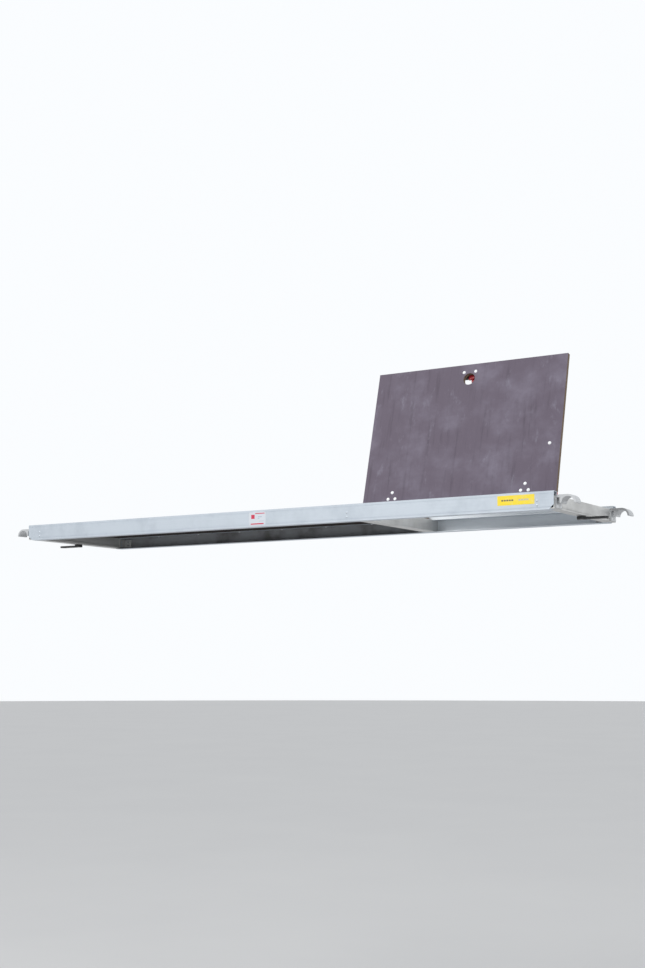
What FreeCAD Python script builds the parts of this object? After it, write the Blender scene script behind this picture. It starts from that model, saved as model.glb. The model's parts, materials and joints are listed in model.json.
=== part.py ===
import FreeCAD, Part
import math
import os
from FreeCAD import Placement, Rotation, Vector
import Sketcher

# Trapdoor platform for an aluminium scaffold tower, in millimetres.
# X runs along the platform, Y across it, Z up. The origin is below the platform's centre,
# level with its lowest pieces. The hatch stands open, hinged on the front rail (-Y).

doc = FreeCAD.newDocument("TrapdoorPlatform")
sheet = doc.addObject("Spreadsheet::Sheet", "Sizes")


class Size:
    """A number from the sheet, or worked out from it, with the expression that keeps it live."""

    def __init__(self, value, text):
        self.value = value
        self.text = text

    def join(self, other, sign, value):
        text = other.text if isinstance(other, Size) else repr(float(other))
        return Size(value, "(%s %s %s)" % (self.text, sign, text))

    def __add__(self, other):
        return self.join(other, "+", self.value + plain(other))

    def __sub__(self, other):
        return self.join(other, "-", self.value - plain(other))

    def __mul__(self, other):
        return self.join(other, "*", self.value * plain(other))

    def __truediv__(self, other):
        return self.join(other, "/", self.value / plain(other))

    def __neg__(self):
        return Size(-self.value, "(0 - %s)" % self.text)


def plain(item):
    return item.value if isinstance(item, Size) else float(item)


def size(name, value):
    """Put one driving dimension in the sheet and hand back its Size."""
    row = size.row
    size.row += 1
    sheet.set("A%d" % row, name)
    sheet.set("B%d" % row, str(value))
    sheet.setAlias("B%d" % row, name)
    return Size(float(value), "Sizes." + name)


size.row = 1

# Driving dimensions
rung_span = size("rung_span", 2500)
rung_radius = size("rung_radius", 22.5)
seat_gap = size("seat_gap", 0.1)
platform_width = size("platform_width", 600)
rail_length = size("rail_length", 2410)
rail_height = size("rail_height", 64)
rail_wall = size("rail_wall", 2.5)
top_flange = size("top_flange", 29)
ledge_reach = size("ledge_reach", 52)
bottom_flange = size("bottom_flange", 38)
rail_base = size("rail_base", 9.5)
rail_corner = size("rail_corner", 18)
rung_height = size("rung_height", 21)
panel_thick = size("panel_thick", 15)
panel_gap = size("panel_gap", 2)
panel_end_gap = size("panel_end_gap", 4)
joint_x = size("joint_x", 430)
beam_width = size("beam_width", 38)
cross_width = size("cross_width", 50)
beam_wall = size("beam_wall", 3)
hinge_inset = size("hinge_inset", 36)
hinge_drop = size("hinge_drop", 4)
hinge_edge = size("hinge_edge", 6)
hinge_width = size("hinge_width", 60)
hinge_from_edge = size("hinge_from_edge", 120)
leaf_thick = size("leaf_thick", 2.5)
knuckle_radius = size("knuckle_radius", 4.2)
pin_radius = size("pin_radius", 2)
open_angle = size("open_angle", 75)
hook_wall = size("hook_wall", 7)
hook_plate = size("hook_plate", 5)
hook_width = size("hook_width", 50)
hook_inset = size("hook_inset", 38)
hole_radius = size("hole_radius", 23)
hole_from_edge = size("hole_from_edge", 59)
lever_thick = size("lever_thick", 7)
lever_reach = size("lever_reach", 102)
lever_width = size("lever_width", 28)
lever_boss = size("lever_boss", 17)
stay_length = size("stay_length", 205)
stay_thick = size("stay_thick", 3)
doc.recompute()

# Places that several pieces share
half_width = platform_width / 2
half_length = rail_length / 2
rail_top = rail_base + rail_height
deck_under = rail_top - panel_thick
ledge_under = deck_under - rail_wall
web_inside = half_width - rail_wall
lip_inside = half_width - top_flange
ledge_inside = half_width - ledge_reach
rung_x = rung_span / 2
rung_z = rail_base + rung_height
seat_radius = rung_radius + seat_gap
hinge_y = hinge_inset - half_width
hinge_z = rail_top - hinge_drop
hatch_right = half_length - panel_end_gap
hatch_left = joint_x + 1
hatch_width = hatch_right - hatch_left
hatch_hinge_edge = hinge_y + hinge_edge
hatch_free_edge = lip_inside - panel_gap
hatch_middle = (hatch_left + hatch_right) / 2
hinge_places = {
    "left": hatch_left + hinge_from_edge,
    "right": hatch_right - hinge_from_edge,
}

nodes = {}
open_turn = Placement(
    Vector(0, 0, 0),
    Rotation(Vector(1, 0, 0), open_angle.value),
    Vector(0, hinge_y.value, hinge_z.value),
)


def bind(item, **sizes):
    for name, amount in sizes.items():
        setattr(item, name, plain(amount))
        if isinstance(amount, Size):
            item.setExpression(name, amount.text)


def put(item, x=0, y=0, z=0, turn=Rotation()):
    item.Placement = Placement(Vector(plain(x), plain(y), plain(z)), turn)
    for axis, amount in (("x", x), ("y", y), ("z", z)):
        if isinstance(amount, Size):
            item.setExpression("Placement.Base." + axis, amount.text)
    return item


def box(name, x, y, z, length, width, height):
    """A box from its low corner and its three sizes."""
    item = doc.addObject("Part::Box", name)
    bind(item, Length=length, Width=width, Height=height)
    return put(item, x, y, z)


def rod(name, x, y, z, radius, height, turn=Rotation()):
    item = doc.addObject("Part::Cylinder", name)
    bind(item, Radius=radius, Height=height)
    return put(item, x, y, z, turn)


def fuse(name, *items):
    item = doc.addObject("Part::MultiFuse", name)
    item.Shapes = list(items)
    item.Refine = True
    return item


def cut(name, base, *tools):
    item = doc.addObject("Part::Cut", name)
    item.Base = base
    item.Tool = tools[0] if len(tools) == 1 else fuse(name + "_tools", *tools)
    return item


def keep(label, item, opened=False):
    """Name a finished sub-part; the hatch's own pieces are turned to where the open hatch holds them."""
    item.Label = label
    if opened:
        doc.recompute()
        shut = item.Placement
        # A bound Placement would pull the turned piece back to its shut height, so the binding is let go first
        for bound, text in item.ExpressionEngine:
            if "Placement" in bound:
                item.setExpression(bound, None)
        item.Placement = open_turn.multiply(shut)
    nodes[label] = item
    return item


def new_body(name):
    return doc.addObject("PartDesign::Body", name)


def new_sketch(body, name, role):
    plane = next(item for item in body.Origin.OriginFeatures if item.Role == role)
    sketch = body.newObject("Sketcher::SketchObject", name)
    sketch.AttachmentSupport = [(plane, "")]
    sketch.MapMode = "FlatFace"
    return sketch


def hold(sketch, kind, geo, point, amount):
    """Fix one coordinate of a point, from the sheet where it has a size there."""
    if abs(plain(amount)) < 1e-9:
        axis = -2 if kind == "DistanceX" else -1
        sketch.addConstraint(Sketcher.Constraint("PointOnObject", geo, point, axis))
        return
    index = sketch.addConstraint(Sketcher.Constraint(kind, -1, 1, geo, point, plain(amount)))
    if isinstance(amount, Size):
        sketch.setExpression("Constraints[%d]" % index, amount.text)


def outline(sketch, points):
    """A closed run of straight edges through points whose two coordinates are held."""
    corners = [Vector(plain(u), plain(v), 0) for u, v in points]
    first = sketch.GeometryCount
    count = len(corners)
    for number in range(count):
        sketch.addGeometry(Part.LineSegment(corners[number], corners[(number + 1) % count]))
    for number in range(count):
        after = first + (number + 1) % count
        sketch.addConstraint(Sketcher.Constraint("Coincident", first + number, 2, after, 1))
    for number, (u, v) in enumerate(points):
        hold(sketch, "DistanceX", first + number, 1, u)
        hold(sketch, "DistanceY", first + number, 1, v)


def ring(sketch, u, v, radius):
    geo = sketch.addGeometry(Part.Circle(Vector(plain(u), plain(v), 0), Vector(0, 0, 1), plain(radius)))
    hold(sketch, "DistanceX", geo, 3, u)
    hold(sketch, "DistanceY", geo, 3, v)
    index = sketch.addConstraint(Sketcher.Constraint("Radius", geo, plain(radius)))
    if isinstance(radius, Size):
        sketch.setExpression("Constraints[%d]" % index, radius.text)


def pad(body, sketch, length, reverse=False):
    feature = body.newObject("PartDesign::Pad", body.Name + "_pad")
    feature.Profile = sketch
    bind(feature, Length=length)
    feature.Reversed = reverse
    return feature


def pocket(body, sketch, name, length, reverse=False):
    """Cut a sketch out of a body, and make sure that something came away."""
    doc.recompute()
    before = body.Shape.Volume
    feature = body.newObject("PartDesign::Pocket", name)
    feature.Profile = sketch
    bind(feature, Length=length)
    feature.Reversed = reverse
    doc.recompute()
    if body.Shape.Volume > before - 0.5:
        raise ValueError(name + " cuts nothing")
    return feature


def rivet(head_radius, head_height, shank_radius, grip, tail_radius=0.0, tail_height=0.0):
    """A blind rivet standing on z = 0: domed head above, shank and set tail below."""
    dome_radius = (head_radius ** 2 + head_height ** 2) / (2 * head_height)
    shoulder = head_radius * 0.6
    bulge = Vector(shoulder, 0, head_height - dome_radius + math.sqrt(dome_radius ** 2 - shoulder ** 2))
    dome = Part.Arc(Vector(head_radius, 0, 0), bulge, Vector(0, 0, head_height)).toShape()
    points = [Vector(0, 0, head_height), Vector(0, 0, -grip - tail_height)]
    if tail_radius > 0:
        points.append(Vector(tail_radius, 0, -grip - tail_height))
        points.append(Vector(tail_radius, 0, -grip))
    points.append(Vector(shank_radius, 0, -grip))
    points.append(Vector(shank_radius, 0, 0))
    points.append(Vector(head_radius, 0, 0))
    edges = [dome]
    for start, end in zip(points, points[1:]):
        edges.append(Part.LineSegment(start, end).toShape())
    face = Part.Face(Part.Wire(Part.__sortEdges__(edges)))
    return face.revolve(Vector(0, 0, 0), Vector(0, 0, 1), 360)


def group(label, pattern, places, opened=False):
    """Copies of one fastener as separate solids; each place is a point and the way the head faces."""
    copies = []
    for point, facing in places:
        copy = pattern.copy()
        turn = Rotation(Vector(0, 0, 1), Vector(*facing))
        copy.Placement = Placement(Vector(*[plain(item) for item in point]), turn)
        copies.append(copy)
    item = doc.addObject("Part::Feature", label)
    item.Shape = Part.makeCompound(copies)
    return keep(label, item, opened)


def take_out(label, *tools):
    """Cut shapes out of a finished sub-part, which keeps its name."""
    base = nodes[label]
    base.Label = label + "_whole"
    notched = cut(label + "_notched", base, *tools)
    notched.Label = label
    nodes[label] = notched


def drill(label, *fasteners):
    """Take the fasteners' own shapes out of a finished sub-part, so that they fit their holes."""
    base = nodes[label]
    base.Label = label + "_undrilled"
    for number, fastener in enumerate(fasteners):
        step = doc.addObject("Part::Cut", "%s_drilled_%d" % (label, number + 1))
        step.Base = base
        step.Tool = nodes[fastener]
        base = step
    base.Label = label
    nodes[label] = base


# Side rails: an extrusion with a top flange, a lip down to the ledge that carries the deck,
# the outer web and a bottom flange. Drawn across Y and Z, extruded along X.
def make_rail(label, turn_degrees):
    body = new_body(label)
    sketch = new_sketch(body, label + "_profile", "YZ_Plane")
    ledge_top = rail_height - panel_thick
    outline(sketch, [
        (0, 0),
        (bottom_flange, 0),
        (bottom_flange, rail_wall),
        (rail_wall, rail_wall),
        (rail_wall, rail_height - rail_wall),
        (top_flange - rail_wall, rail_height - rail_wall),
        (top_flange - rail_wall, ledge_top - rail_wall),
        (ledge_reach, ledge_top - rail_wall),
        (ledge_reach, ledge_top),
        (top_flange, ledge_top),
        (top_flange, rail_height),
        (0, rail_height),
    ])
    pad(body, sketch, rail_length)
    corner = new_sketch(body, label + "_end_corners", "XZ_Plane")
    outline(corner, [(0, 0), (rail_corner, 0), (0, rail_corner)])
    outline(corner, [(rail_length, 0), (rail_length, rail_corner), (rail_length - rail_corner, 0)])
    pocket(body, corner, label + "_corner_cuts", ledge_reach)
    side = -1 if turn_degrees == 0 else 1
    put(body, half_length * side, half_width * side, rail_base, Rotation(Vector(0, 0, 1), turn_degrees))
    keep(label, body)


make_rail("rail_front", 0)
make_rail("rail_rear", 180)


# Cross members: rectangular tubes between the webs, relieved at both ends under the ledges.
def make_beam(label, low_x, width):
    low_z = rail_base + rail_wall
    height = deck_under - low_z
    outer = box(label + "_outer", low_x, -web_inside, low_z, width, web_inside * 2, height)
    inner = box(
        label + "_inner",
        low_x + beam_wall,
        -half_width,
        low_z + beam_wall,
        width - beam_wall * 2,
        platform_width,
        height - beam_wall * 2,
    )
    relief_width = web_inside - ledge_inside
    front = box(label + "_front_relief", low_x, -web_inside, ledge_under, width, relief_width, rail_wall)
    rear = box(label + "_rear_relief", low_x, ledge_inside, ledge_under, width, relief_width, rail_wall)
    keep(label, cut(label, outer, inner, front, rear))


make_beam("end_beam_left", -half_length, beam_width)
make_beam("end_beam_right", half_length - beam_width, beam_width)
make_beam("cross_beam", joint_x - cross_width / 2, cross_width)


# Fixed deck panel, film-faced plywood, flush with the tops of the rails.
def make_panel(label, left, right, front, rear):
    body = new_body(label)
    sketch = new_sketch(body, label + "_outline", "XY_Plane")
    length = right - left
    width = rear - front
    outline(sketch, [(0, 0), (length, 0), (length, width), (0, width)])
    pad(body, sketch, panel_thick)
    put(body, left, front, deck_under)
    return body


deck_left = panel_end_gap - half_length
deck_body = make_panel("deck_panel", deck_left, joint_x - 2, panel_gap - lip_inside, hatch_free_edge)
keep("deck_panel", deck_body)


# Hatch panel with its finger hole and the shallow seats of its two hinge leaves.
def make_hatch():
    body = make_panel("hatch_panel", hatch_left, hatch_right, hatch_hinge_edge, hatch_free_edge)
    finger = new_sketch(body, "finger_hole_outline", "XY_Plane")
    hatch_depth = hatch_free_edge - hatch_hinge_edge
    ring(finger, hatch_width / 2, hatch_depth - hole_from_edge, hole_radius)
    pocket(body, finger, "finger_hole", panel_thick, reverse=True)
    seats = new_sketch(body, "leaf_seat_outlines", "XY_Plane")
    for place in hinge_places.values():
        left = place - hatch_left - hinge_width / 2
        right = left + hinge_width
        outline(seats, [(left, 0), (right, 0), (right, LEAF_DEPTH), (left, LEAF_DEPTH)])
    pocket(body, seats, "leaf_seats", leaf_thick, reverse=True)
    keep("hatch_panel", body, opened=True)


LEAF_DEPTH = 44.0
make_hatch()


# Hinges: each has a fixed leaf on the rail's lip, a leaf let into the hatch, and a pin.
KNUCKLE_GAP = 0.3


def knuckle(name, middle, length, hole_radius_mm):
    turn = Rotation(Vector(0, 0, 1), Vector(1, 0, 0))
    start = middle - length / 2
    solid = rod(name + "_round", start, hinge_y, hinge_z, knuckle_radius, length, turn)
    hole = rod(name + "_bore", start - 1, hinge_y, hinge_z, hole_radius_mm, length + 2, turn)
    return solid, hole


def make_hinge(side, place):
    lip_y = -lip_inside
    third = hinge_width / 3
    plate_thick = hinge_y - knuckle_radius - lip_y + 0.6
    solids = []
    holes = []
    for end in (-1, 1):
        middle = place + third * end
        solid, hole = knuckle("fixed_%s_%d" % (side, end + 1), middle, third - KNUCKLE_GAP * 2, pin_radius)
        solids.append(solid)
        holes.append(hole)
    low_x = place - hinge_width / 2 + KNUCKLE_GAP
    plate_height = hinge_z - deck_under
    plate_length = hinge_width - KNUCKLE_GAP * 2
    plate = box("fixed_plate_" + side, low_x, lip_y, deck_under, plate_length, plate_thick, plate_height)
    solids.append(plate)
    # The plate is cut back in the middle so that the moving knuckle can turn.
    reach = knuckle_radius + KNUCKLE_GAP
    turn = Rotation(Vector(0, 0, 1), Vector(1, 0, 0))
    holes.append(rod("fixed_relief_" + side, place - third / 2 - KNUCKLE_GAP, hinge_y, hinge_z, reach,
                     third + KNUCKLE_GAP * 2, turn))
    keep("hinge_leaf_fixed_" + side,
         cut("hinge_leaf_fixed_" + side, fuse("fixed_leaf_" + side, *solids), *holes))
    make_moving_leaf(side, place, third)
    pin_start = place - hinge_width / 2 - 1
    pin = rod("hinge_pin_" + side, pin_start, hinge_y, hinge_z, pin_radius, hinge_width + 2, turn)
    keep("hinge_pin_" + side, pin)


def make_moving_leaf(side, place, third):
    length = third - KNUCKLE_GAP * 2
    solid, hole = knuckle("moving_" + side, place, length, pin_radius + 0.05)
    low_x = place - length / 2
    strap_y = hatch_hinge_edge - leaf_thick
    strap = box("moving_strap_" + side, low_x, strap_y, deck_under, length, leaf_thick, hinge_z - deck_under)
    foot_x = place - hinge_width / 2 + 0.1
    foot = box("moving_foot_" + side, foot_x, hatch_hinge_edge, deck_under,
               hinge_width - 0.2, LEAF_DEPTH - 0.1, leaf_thick)
    bridge = box("moving_bridge_" + side, low_x, strap_y, deck_under, length, leaf_thick + 1, leaf_thick)
    leaf = cut("hinge_leaf_moving_" + side, fuse("moving_leaf_" + side, solid, strap, foot, bridge), hole)
    keep("hinge_leaf_moving_" + side, leaf, opened=True)


for side, place in hinge_places.items():
    make_hinge(side, place)


# Hooks: an extruded claw at each corner that drops over a rung of the tower frame.
def make_hook(label, side_x, side_y):
    body = new_body(label)
    sketch = new_sketch(body, label + "_profile", "XZ_Plane")
    centre_u = (rung_x - half_length).value
    centre_v = rung_height.value
    inner = seat_radius.value
    outer = inner + hook_wall.value
    plate = hook_plate.value
    crown = centre_v + outer
    foot = 5.0
    leg = centre_u - outer
    shoulder = crown - hook_wall.value - 3.0

    def at(u, v):
        return Vector(u, v, 0)

    def bow(radius):
        low = math.radians(45)
        middle = at(centre_u + radius * math.cos(low), centre_v + radius * math.sin(low))
        return at(centre_u + radius, centre_v), middle, at(centre_u, centre_v + radius)

    outer_right, outer_middle, outer_top = bow(outer)
    inner_right = at(centre_u + inner, centre_v)
    inner_top = at(centre_u, centre_v + inner)
    inner_left = at(centre_u - inner, centre_v)
    pieces = [
        Part.LineSegment(at(0, foot), at(0, crown)),
        Part.LineSegment(at(0, crown), outer_top),
        Part.Arc(outer_top, outer_middle, outer_right),
        Part.LineSegment(outer_right, inner_right),
        Part.Arc(inner_right, inner_top, inner_left),
        Part.LineSegment(inner_left, at(leg, centre_v)),
        Part.LineSegment(at(leg, centre_v), at(leg, shoulder)),
        Part.LineSegment(at(leg, shoulder), at(plate, shoulder)),
        Part.LineSegment(at(plate, shoulder), at(plate, foot)),
        Part.LineSegment(at(plate, foot), at(0, foot)),
    ]
    sketch.addGeometry(pieces)
    pad(body, sketch, hook_width)
    body_turn = Rotation(Vector(0, 0, 1), 0 if side_x > 0 else 180)
    middle_y = (half_width - hook_inset) * side_y
    low_y = middle_y + hook_width * side_x / 2
    put(body, half_length * side_x, low_y, rail_base, body_turn)
    keep(label, body)


CORNERS = {
    "left_front": (-1, -1),
    "left_rear": (-1, 1),
    "right_front": (1, -1),
    "right_rear": (1, 1),
}
for corner, (side_x, side_y) in CORNERS.items():
    make_hook("hook_" + corner, side_x, side_y)

# Cleats: angle pieces that tie each cross member to the webs.
CLEAT_LEG = 40.0
CLEAT_THICK = 3.0
CLEAT_HEIGHT = 34.0
CLEAT_LIFT = 7.0


def make_cleat(label, beam_face, away_x, side_y):
    """One leg lies on the beam's face, the other on the web; away_x points from beam to open space."""
    low_z = rail_base + CLEAT_LIFT
    web = web_inside * side_y
    leg_x = beam_face if away_x > 0 else beam_face - CLEAT_THICK
    long_x = beam_face if away_x > 0 else beam_face - CLEAT_LEG
    leg_y = web - CLEAT_LEG if side_y > 0 else web
    web_y = web - CLEAT_THICK if side_y > 0 else web
    on_beam = box(label + "_beam_leg", leg_x, leg_y, low_z, CLEAT_THICK, CLEAT_LEG, CLEAT_HEIGHT)
    on_web = box(label + "_web_leg", long_x, web_y, low_z, CLEAT_LEG, CLEAT_THICK, CLEAT_HEIGHT)
    keep(label, fuse(label, on_beam, on_web))


beam_faces = {
    "left": (beam_width - half_length, 1),
    "right": (half_length - beam_width, -1),
    "cross": (joint_x - cross_width / 2, -1),
}
cleat_places = []
for beam, (face, away_x) in beam_faces.items():
    for row, side_y in (("front", -1), ("rear", 1)):
        make_cleat("cleat_%s_%s" % (beam, row), face, away_x, side_y)
        for lift in (9.0, 25.0):
            rivet_z = rail_base.value + CLEAT_LIFT + lift
            web_point = (face.value + away_x * 24.0, half_width.value * side_y, rivet_z)
            beam_y = (web_inside.value - 26.0) * side_y
            beam_point = (face.value + away_x * CLEAT_THICK, beam_y, rivet_z)
            cleat_places.append((web_point, (0, side_y, 0)))
            cleat_places.append((beam_point, (away_x, 0, 0)))

group("cleat_rivets", rivet(4.2, 1.2, 2.1, 6.0, 3.1, 2.5), cleat_places)

# Rivets of the hooks, two in each plate
hook_places = []
for side_x, side_y in CORNERS.values():
    for offset in (-14.0, 14.0):
        point_x = (half_length.value + hook_plate.value) * side_x
        point_y = (half_width.value - hook_inset.value) * side_y + offset
        hook_places.append(((point_x, point_y, rail_base.value + 13.0), (side_x, 0, 0)))
group("hook_rivets", rivet(5.0, 2.0, 2.4, 8.0, 3.4, 2.5), hook_places)

# Rivets of the deck panel, along both ledges. Rivets through board have wide heads.
BOARD_HEAD = 6.2
BOARD_DOME = 2.0
deck_places = []
DECK_ROW = 8
for number in range(DECK_ROW):
    step = (joint_x.value - deck_left.value - 80.0) / (DECK_ROW - 1)
    for side_y in (-1, 1):
        point = (deck_left.value + 40.0 + step * number, (ledge_inside.value + 12.0) * side_y, rail_top.value)
        deck_places.append((point, (0, 0, 1)))
group("deck_rivets", rivet(BOARD_HEAD, BOARD_DOME, 2.4, 17.5, 3.4, 2.5), deck_places)

# Rivets of the hinges: three through the hatch at each, two through the lip
leaf_places = []
lip_places = []
for place in hinge_places.values():
    for offset_x, offset_y in ((-14.5, 10.0), (14.5, 10.0), (0.0, 35.0)):
        point = (place.value + offset_x, hatch_hinge_edge.value + offset_y, rail_top.value)
        leaf_places.append((point, (0, 0, 1)))
    for offset_x in (-20.0, 20.0):
        point = (place.value + offset_x, -lip_inside.value - rail_wall.value, deck_under.value + 4.0)
        lip_places.append((point, (0, -1, 0)))
group("hinge_leaf_rivets", rivet(BOARD_HEAD, BOARD_DOME, 2.4, 15.0, 3.6, 1.5), leaf_places, opened=True)
group("hinge_lip_rivets", rivet(3.2, 1.2, 1.6, 5.2), lip_places)

# Wind locks: a lever under each end beam that swings below the rung.
LEVER_HEAD_RADIUS = 8.0
LEVER_HEAD_DEPTH = 5.5
WASHER_THICK = 1.5
pivot_x = half_length - beam_width / 2


def make_wind_lock(side, side_x):
    label = "windlock_" + side
    flat = Rotation()
    middle_x = pivot_x * side_x
    beam_low = rail_base + rail_wall
    boss_height = beam_low - WASHER_THICK - 0.3
    boss = rod(label + "_boss", middle_x, 0, 0, lever_boss, boss_height, flat)
    arm_length = lever_reach - lever_width / 2
    arm_x = middle_x if side_x > 0 else middle_x - arm_length
    arm = box(label + "_arm", arm_x, -lever_width / 2, 0, arm_length, lever_width, lever_thick)
    tip = rod(label + "_tip", middle_x + arm_length * side_x, 0, 0, lever_width / 2, lever_thick, flat)
    bore = rod(label + "_bore", middle_x, 0, -1, 4.08, boss_height + 2, flat)
    recess = rod(label + "_recess", middle_x, 0, -1, LEVER_HEAD_RADIUS + 0.5, LEVER_HEAD_DEPTH + 1, flat)
    keep(label, cut(label, fuse(label + "_solid", boss, arm, tip), bore, recess))
    # The shoulder bolt, its washer and the nut inside the beam
    head = rod(label + "_head", middle_x, 0, 0.4, LEVER_HEAD_RADIUS, LEVER_HEAD_DEPTH - 0.7, flat)
    shank = rod(label + "_shank", middle_x, 0, 0.4, 4, beam_low + 11, flat)
    keep("windlock_bolt_" + side, fuse("windlock_bolt_" + side, head, shank))
    washer = rod(label + "_washer", middle_x, 0, beam_low - WASHER_THICK, 10, WASHER_THICK, flat)
    washer_hole = rod(label + "_washer_hole", middle_x, 0, 0, 4, 40, flat)
    keep("windlock_washer_" + side, cut("windlock_washer_" + side, washer, washer_hole))
    nut = doc.addObject("Part::Prism", label + "_nut")
    nut.Polygon = 6
    bind(nut, Circumradius=7.5, Height=6.5)
    put(nut, middle_x, 0, beam_low + beam_wall)
    nut_hole = rod(label + "_nut_hole", middle_x, 0, 0, 4, 60, flat)
    keep("windlock_nut_" + side, cut("windlock_nut_" + side, nut, nut_hole))


make_wind_lock("left", -1)
make_wind_lock("right", 1)

# Finger latch: a housing under the hatch's free edge, with a sprung slider and its bolt.
HOUSING_WIDTH = 68.0
HOUSING_DEPTH = 18.0
HOUSING_LENGTH = 24.0
BOLT_WIDTH = 24.0
BOLT_THICK = 9.0
housing_rear = ledge_inside - 1.5
housing_front = housing_rear - HOUSING_LENGTH
bolt_top = ledge_under - 1


def make_latch():
    low_z = deck_under - HOUSING_DEPTH
    shell = box("housing_shell", hatch_middle - HOUSING_WIDTH / 2, housing_front, low_z,
                HOUSING_WIDTH, HOUSING_LENGTH, HOUSING_DEPTH)
    way = box("housing_way", hatch_middle - BOLT_WIDTH / 2 - 0.4, housing_front - 1, bolt_top - BOLT_THICK - 0.4,
              BOLT_WIDTH + 0.8, HOUSING_LENGTH + 2, BOLT_THICK + 0.8)
    pocket_room = box("housing_spring_room", hatch_middle - 2, housing_front + 3, bolt_top + 0.4,
                      4, HOUSING_LENGTH - 4, 4)
    finger_room = rod("housing_finger_room", hatch_middle, hatch_free_edge - hole_from_edge,
                      bolt_top - BOLT_THICK - 0.4, hole_radius, BOLT_THICK + 10)
    keep("latch_housing", cut("latch_housing", shell, way, pocket_room, finger_room), opened=True)
    bolt_reach = 13.0
    bolt = box("slider_bolt", hatch_middle - BOLT_WIDTH / 2, housing_front - 6, bolt_top - BOLT_THICK,
               BOLT_WIDTH, HOUSING_LENGTH + 6 + bolt_reach, BOLT_THICK)
    grip = box("slider_grip", hatch_middle + 1, housing_front - 18, bolt_top - BOLT_THICK,
               18, 14, BOLT_THICK)
    thumb = box("slider_thumb", hatch_middle + 1, housing_front - 9, bolt_top - BOLT_THICK,
                13, 4, BOLT_THICK + 9)
    keep("latch_slider", fuse("latch_slider", bolt, grip, thumb), opened=True)
    turn = Rotation(Vector(0, 0, 1), Vector(0, 1, 0))
    spring = rod("spring_outer", hatch_middle, housing_front + 11.5, bolt_top + 1.8, 1.2, 11, turn)
    spring_core = rod("spring_core", hatch_middle, housing_front + 11, bolt_top + 1.8, 0.7, 12, turn)
    keep("latch_spring", cut("latch_spring", spring, spring_core), opened=True)


make_latch()
latch_places = []
for offset in (-23.5, 23.5):
    point = (hatch_middle.value + offset, hatch_free_edge.value - 30.5, rail_top.value)
    latch_places.append((point, (0, 0, 1)))
group("latch_rivets", rivet(BOARD_HEAD, BOARD_DOME, 2.4, 29.0, 3.4, 2.0), latch_places, opened=True)

# Hatch stay: a strip with a long loop, hung on a bracket under the hatch.
stay_x = half_length - beam_width - 20
bracket_y = hatch_hinge_edge + 182
STAY_DROP = 12.0
stay_pivot = Vector(stay_x.value, bracket_y.value, deck_under.value - STAY_DROP)


def make_stay():
    foot = box("bracket_foot", stay_x + stay_thick + 1, bracket_y - 12, deck_under - 2.5, 14, 24, 2.5)
    ear = box("bracket_ear", stay_x + stay_thick + 1, bracket_y - 12, deck_under - 20, 2.5, 24, 20)
    turn = Rotation(Vector(0, 0, 1), Vector(1, 0, 0))
    hole = rod("bracket_hole", stay_x, bracket_y, deck_under - STAY_DROP, 3, 20, turn)
    keep("stay_bracket", cut("stay_bracket", fuse("bracket_solid", foot, ear), hole), opened=True)
    pin = rod("stay_pin_shank", stay_x - 0.3, bracket_y, deck_under - STAY_DROP, 3, 7.5, turn)
    cap = rod("stay_pin_cap", stay_x - 2.3, bracket_y, deck_under - STAY_DROP, 5.5, 2, turn)
    keep("stay_pin", fuse("stay_pin", pin, cap), opened=True)
    make_stay_strip()


def make_stay_strip():
    """The strip is drawn along +Y from its pivot, then turned to stand on the end beam's stud."""
    body = new_body("hatch_stay")
    sketch = new_sketch(body, "stay_outline", "YZ_Plane")
    length = stay_length.value
    half = 12.0
    loop_start = 42.0
    shoulder = loop_start - 14
    neck = 7.0
    round_end = 9.0
    meet = math.sqrt(round_end * round_end - neck * neck)
    sketch.addGeometry([
        Part.Arc(Vector(meet, neck, 0), Vector(-round_end, 0, 0), Vector(meet, -neck, 0)),
        Part.LineSegment(Vector(meet, neck, 0), Vector(shoulder, neck, 0)),
        Part.LineSegment(Vector(shoulder, neck, 0), Vector(loop_start, half, 0)),
        Part.LineSegment(Vector(loop_start, half, 0), Vector(length, half, 0)),
        Part.Arc(Vector(length, half, 0), Vector(length + half, 0, 0), Vector(length, -half, 0)),
        Part.LineSegment(Vector(length, -half, 0), Vector(loop_start, -half, 0)),
        Part.LineSegment(Vector(loop_start, -half, 0), Vector(shoulder, -neck, 0)),
        Part.LineSegment(Vector(shoulder, -neck, 0), Vector(meet, -neck, 0)),
    ])
    pad(body, sketch, stay_thick)
    slot = 6.5
    slot_near = loop_start + 6
    slot_tip = slot_near - slot
    room = new_sketch(body, "stay_loop", "YZ_Plane")
    room.addGeometry([
        Part.LineSegment(Vector(slot_near, slot, 0), Vector(length, slot, 0)),
        Part.Arc(Vector(length, slot, 0), Vector(length + slot, 0, 0), Vector(length, -slot, 0)),
        Part.LineSegment(Vector(length, -slot, 0), Vector(slot_near, -slot, 0)),
        Part.Arc(Vector(slot_near, -slot, 0), Vector(slot_tip, 0, 0), Vector(slot_near, slot, 0)),
    ])
    pocket(body, room, "stay_loop_cut", stay_thick, reverse=True)
    eye_radius = 3.05
    eye = new_sketch(body, "stay_eye", "YZ_Plane")
    eye.addGeometry(Part.Circle(Vector(0, 0, 0), Vector(0, 0, 1), eye_radius))
    pocket(body, eye, "stay_eye_cut", stay_thick, reverse=True)
    pivot = open_turn.multVec(stay_pivot)
    aim = Vector(0, STUD_Y - pivot.y, rail_base.value + STUD_LIFT - pivot.z)
    angle = math.degrees(math.atan2(aim.z, aim.y))
    body.Placement = Placement(pivot, Rotation(Vector(1, 0, 0), angle))
    keep("hatch_stay", body)


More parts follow.
